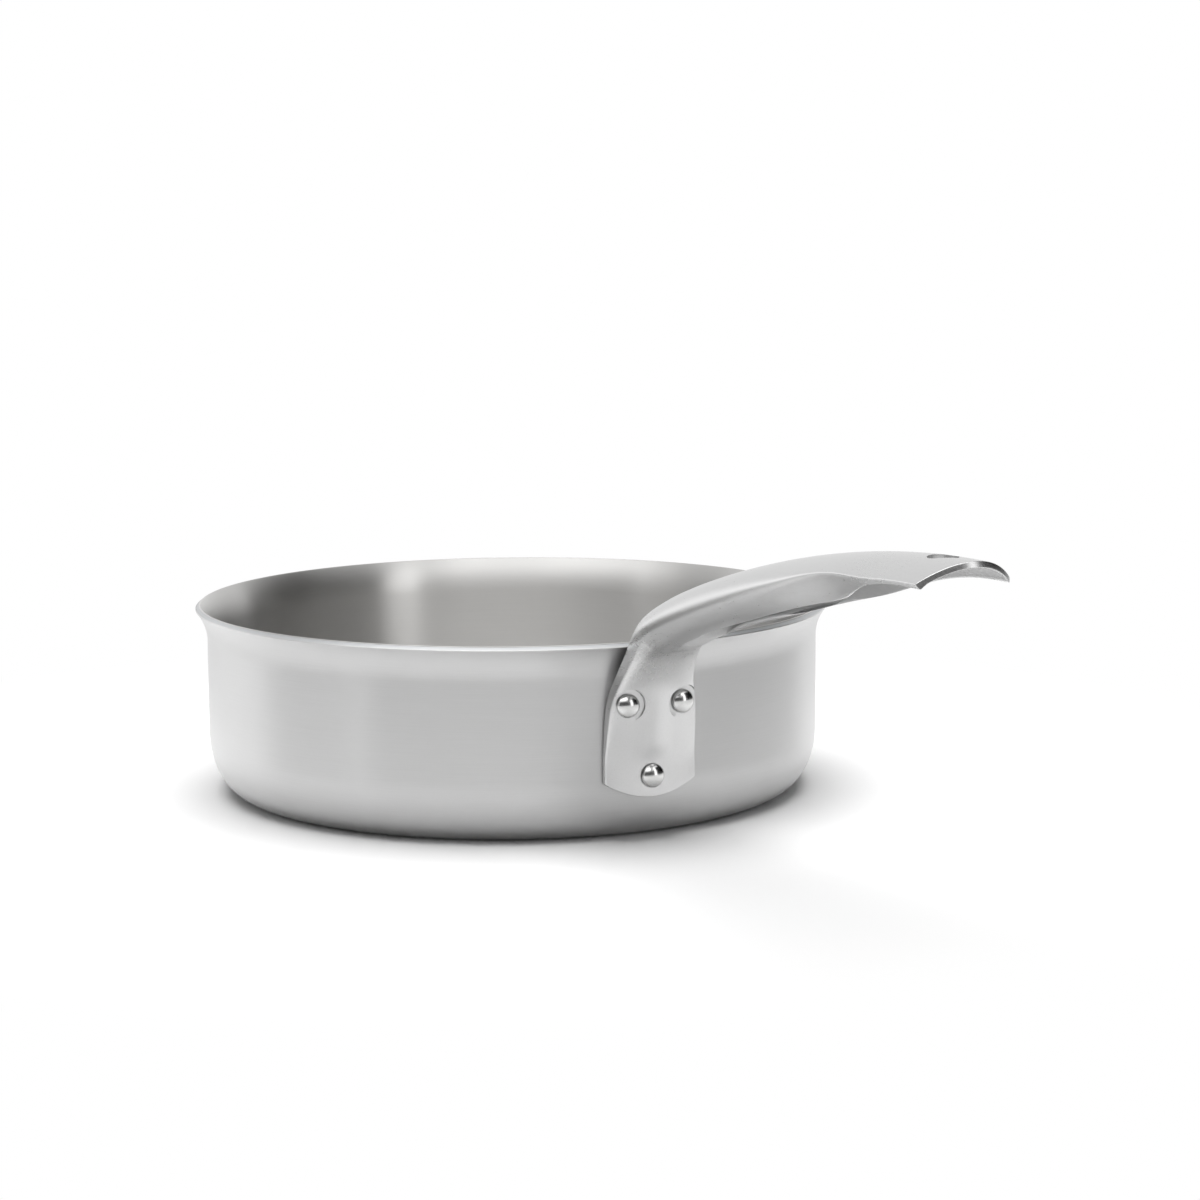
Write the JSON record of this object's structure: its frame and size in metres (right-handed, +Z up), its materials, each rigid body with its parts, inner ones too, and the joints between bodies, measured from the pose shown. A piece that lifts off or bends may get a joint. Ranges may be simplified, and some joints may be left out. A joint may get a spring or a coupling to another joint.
{
  "type": "saute pan",
  "caption": "Straight-walled saute pan of clad steel sheet with a flared lip and a long riveted handle, hollow underneath and opening into an arched grip with a hang hole.",
  "frame": {"origin": "centre of the flat base, on the surface that the pan stands on", "axes": "+Z up along the axis of the pan, +X out along the handle, so that y = 0 is the plane of symmetry"},
  "size_m": [0.4688, 0.2544, 0.1298],
  "materials": {
    "skin_steel": "satin, brushed around the wall",
    "core_aluminium": "turned edge, seen only at the rim",
    "liner_steel": "fine satin, brushed around the wall",
    "handle_steel": "fine satin, close to polished",
    "rivet_steel": "polished"
  },
  "bodies": {
    "root": {"outer_steel_skin": "skin_steel", "aluminium_core": "core_aluminium", "inner_steel_liner": "liner_steel", "handle": "handle_steel", "rivet_upper_left": "rivet_steel", "rivet_upper_right": "rivet_steel", "rivet_lower": "rivet_steel"}
  },
  "joints": []
}
